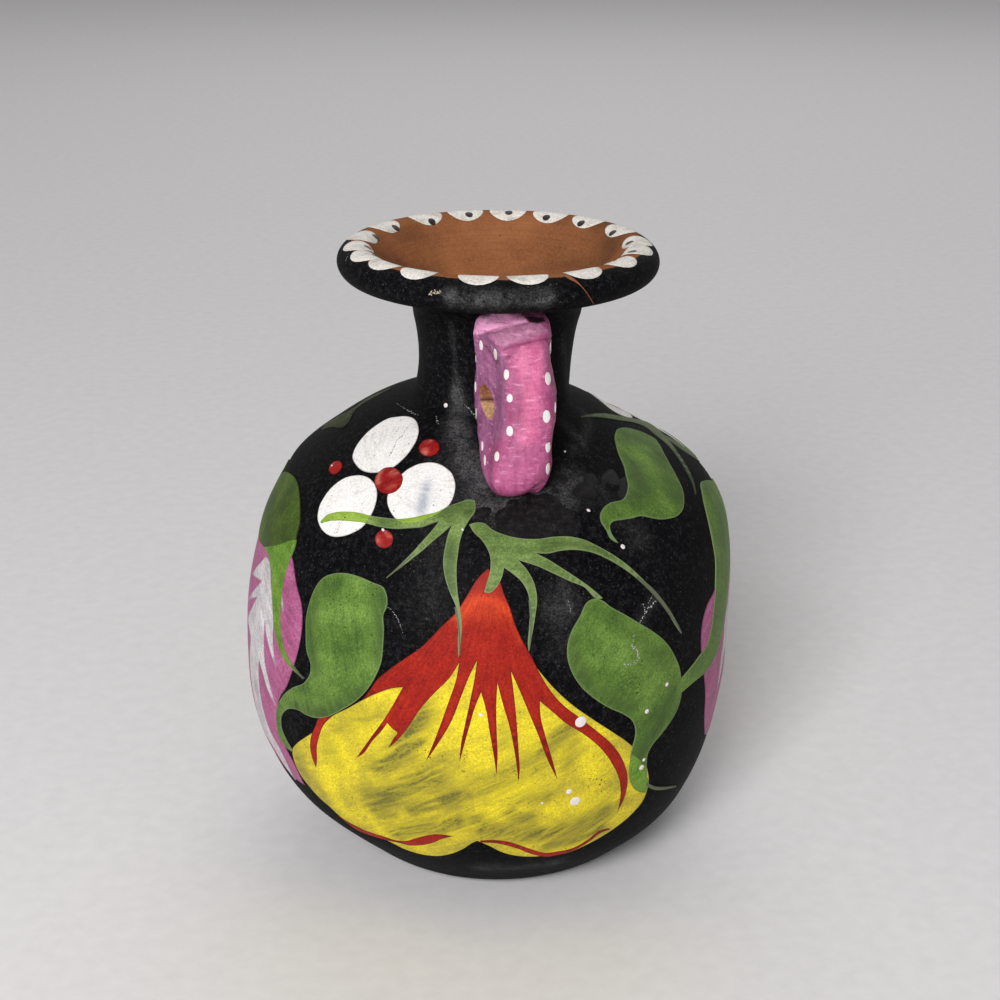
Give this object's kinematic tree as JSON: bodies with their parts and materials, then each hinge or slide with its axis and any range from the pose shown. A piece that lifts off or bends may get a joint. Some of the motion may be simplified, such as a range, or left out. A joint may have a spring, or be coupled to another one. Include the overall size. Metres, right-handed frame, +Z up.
{
  "type": "painted terracotta jug",
  "caption": "Small round-bellied terracotta jug with a waisted neck, a wide rolled rim and a pierced ear on each side of the neck.",
  "frame": {"origin": "centre of the flat foot, on the surface that the jug stands on", "axes": "+Z up along the neck, -Y through the front ear, +X to the right as seen from the front"},
  "size_m": [0.0874, 0.0874, 0.1105],
  "materials": {
    "black_ground": "matt black paint over fired clay",
    "pink_ear": "satin pink paint over fired clay",
    "bare_clay": "bare unglazed terracotta",
    "white_paint": "satin white brushed paint",
    "yellow_paint": "satin yellow brushed paint",
    "red_paint": "satin red brushed paint",
    "green_paint": "thin green brushed paint",
    "mauve_paint": "thin mauve brushed paint"
  },
  "bodies": {
    "root": {"base_disc": "black_ground", "lower_bowl": "black_ground", "shoulder": "black_ground", "neck_collar": "black_ground", "flared_rim": "bare_clay", "front_lug": "pink_ear", "rear_lug": "pink_ear"}
  },
  "joints": []
}
